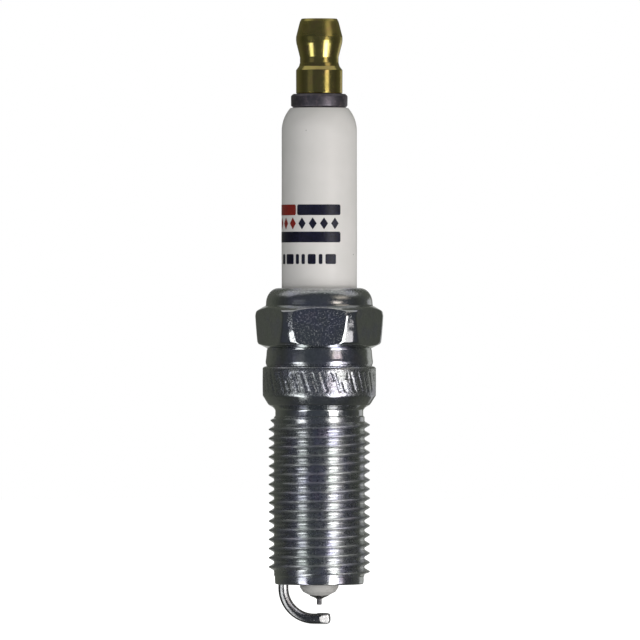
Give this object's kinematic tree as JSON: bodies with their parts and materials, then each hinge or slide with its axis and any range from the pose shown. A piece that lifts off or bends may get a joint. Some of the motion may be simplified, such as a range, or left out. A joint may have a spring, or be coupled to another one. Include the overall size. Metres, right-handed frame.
{
  "type": "spark plug",
  "caption": "Spark plug with long M14 thread, conical seat, hexagon, ribless white insulator, brass terminal nut and fine-wire centre electrode.",
  "frame": {"origin": "on the plug's axis, at the gauge plane of the conical seat", "axes": "+Z along the axis to the terminal, -Z to the firing end; the ground electrode's leg stands at -X and two hexagon flats face -Y and +Y"},
  "size_m": [0.0174, 0.0158, 0.0825],
  "materials": {
    "terminal_brass": "turned, bare, slightly dulled",
    "oxidised_steel": "dark oxide with a violet cast",
    "glazed_alumina": "clear gloss glaze on the barrel, bare and matt on the nose",
    "plated_steel": "bright zinc plating over turned and rolled steel",
    "nickel_alloy": "drawn nickel alloy",
    "copper": "copper, enclosed",
    "noble_metal": "iridium and platinum alloy, fine ground",
    "soft_steel": "soft steel, enclosed",
    "copper_glass": "fused copper and glass, enclosed",
    "resistor_glass": "fused carbon and glass, enclosed",
    "talc": "pressed talc powder, enclosed"
  },
  "bodies": {
    "plug": {"shell": "plated_steel", "insulator": "glazed_alumina", "terminal_stud": "oxidised_steel", "ground_electrode": "nickel_alloy", "ground_electrode_pad": "noble_metal", "center_electrode": "nickel_alloy", "center_electrode_core": "copper", "center_electrode_tip": "noble_metal", "glass_seal_upper": "copper_glass", "resistor": "resistor_glass", "glass_seal_lower": "copper_glass", "seat_washer": "soft_steel", "packing_ring_lower": "soft_steel", "packing_ring_upper": "soft_steel", "talc_packing": "talc"},
    "terminal_nut": {"terminal_nut": "terminal_brass"}
  },
  "joints": [
    {"name": "terminal_nut_removal", "type": "slide", "parent": "plug", "child": "terminal_nut", "axis": [0, 0, 1], "range_m": [0, 0.012]}
  ]
}
